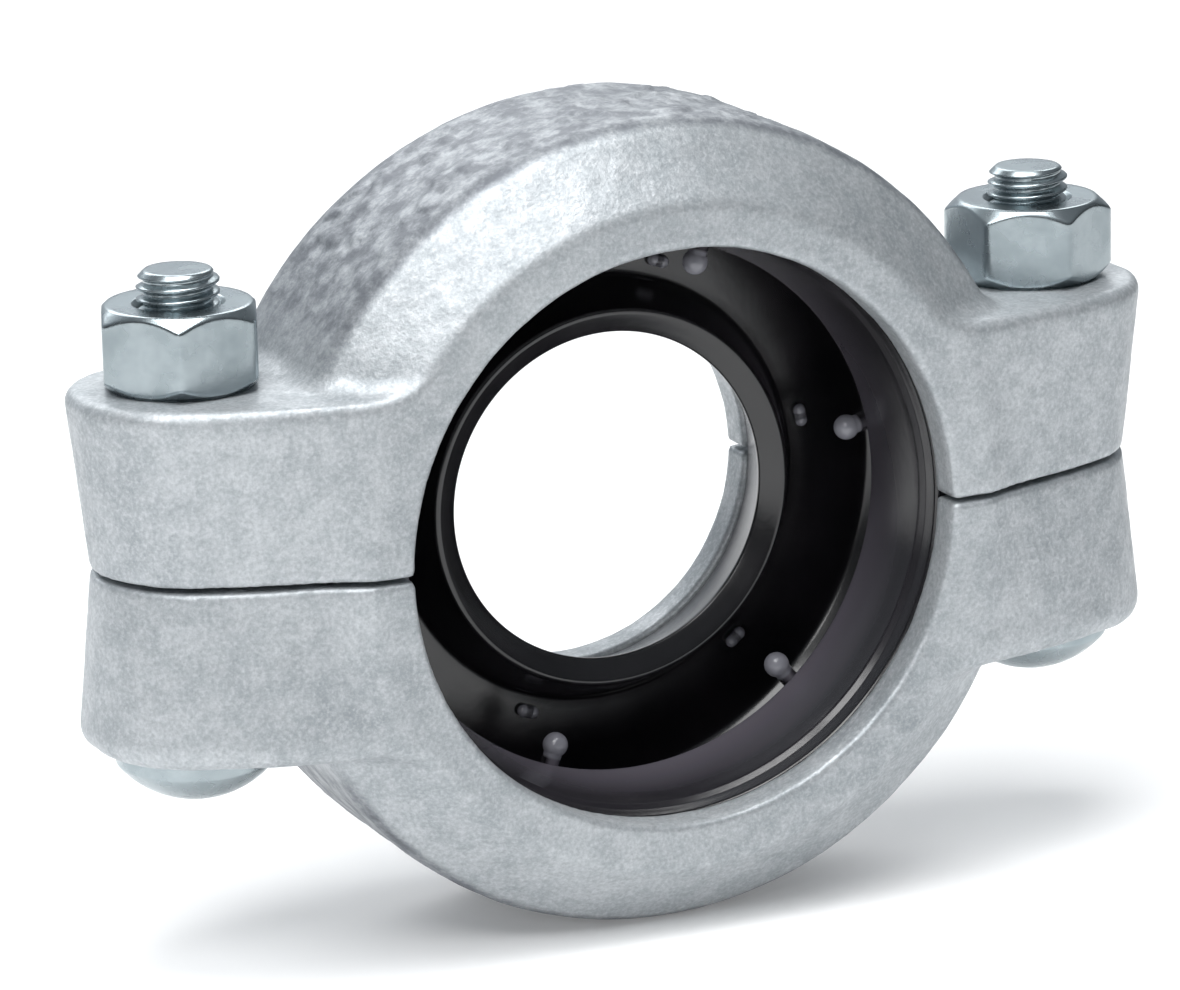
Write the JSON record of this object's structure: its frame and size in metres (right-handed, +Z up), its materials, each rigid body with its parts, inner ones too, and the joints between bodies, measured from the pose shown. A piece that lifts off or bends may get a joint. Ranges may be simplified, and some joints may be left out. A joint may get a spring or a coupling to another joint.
{
  "type": "grooved reducing pipe coupling",
  "caption": "Grooved reducing coupling: two galvanised housing halves bolted over a stepped rubber gasket, joining a large pipe to a smaller one.",
  "frame": {"origin": "on the pipe axis, in the plane of the front face, at the mouth of the large bore", "axes": "+Y along the pipe axis from the large bore to the small bore, +X from the left bolt to the right bolt, +Z up along the bolts from heads to nuts"},
  "size_m": [0.1698, 0.048, 0.121],
  "materials": {
    "galvanised_casting": "hot-dip galvanised casting, dull, mottled and slightly rough",
    "gasket_rubber": "moulded black rubber, satin",
    "zinc_plated_steel": "bright zinc plate, slightly blue"
  },
  "bodies": {
    "lower_half": {"lower_housing": "galvanised_casting"},
    "upper_half": {"upper_housing": "galvanised_casting"},
    "gasket": {"reducing_gasket": "gasket_rubber"},
    "left_bolt": {"left_track_bolt": "zinc_plated_steel"},
    "right_bolt": {"right_track_bolt": "zinc_plated_steel"},
    "left_nut": {"left_hex_nut": "zinc_plated_steel"},
    "right_nut": {"right_hex_nut": "zinc_plated_steel"}
  },
  "joints": [
    {"name": "left_nut_turn", "type": "hinge", "parent": "upper_half", "child": "left_nut", "pos_m": [-0.0684, 0.024, 0], "axis": [0, 0, 1], "range_deg": [0, 3643]},
    {"name": "right_nut_turn", "type": "hinge", "parent": "upper_half", "child": "right_nut", "pos_m": [0.0684, 0.024, 0], "axis": [0, 0, 1], "range_deg": [0, 3643]},
    {"name": "housing_lift", "type": "slide", "parent": "lower_half", "child": "upper_half", "axis": [0, 0, 1], "range_m": [0, 0.0177]},
    {"name": "gasket_lift", "type": "slide", "parent": "lower_half", "child": "gasket", "axis": [0, 0, 1], "range_m": [0, 0.0089]},
    {"name": "left_bolt_draw", "type": "slide", "parent": "lower_half", "child": "left_bolt", "axis": [0, 0, -1], "range_m": [0, 0.071]},
    {"name": "right_bolt_draw", "type": "slide", "parent": "lower_half", "child": "right_bolt", "axis": [0, 0, -1], "range_m": [0, 0.071]}
  ],
  "couplings": [
    {"joint": "left_nut_turn", "follows": "housing_lift", "rad_per_m": 3590.4},
    {"joint": "right_nut_turn", "follows": "housing_lift", "rad_per_m": 3590.4},
    {"joint": "gasket_lift", "follows": "housing_lift", "ratio": 0.5}
  ]
}
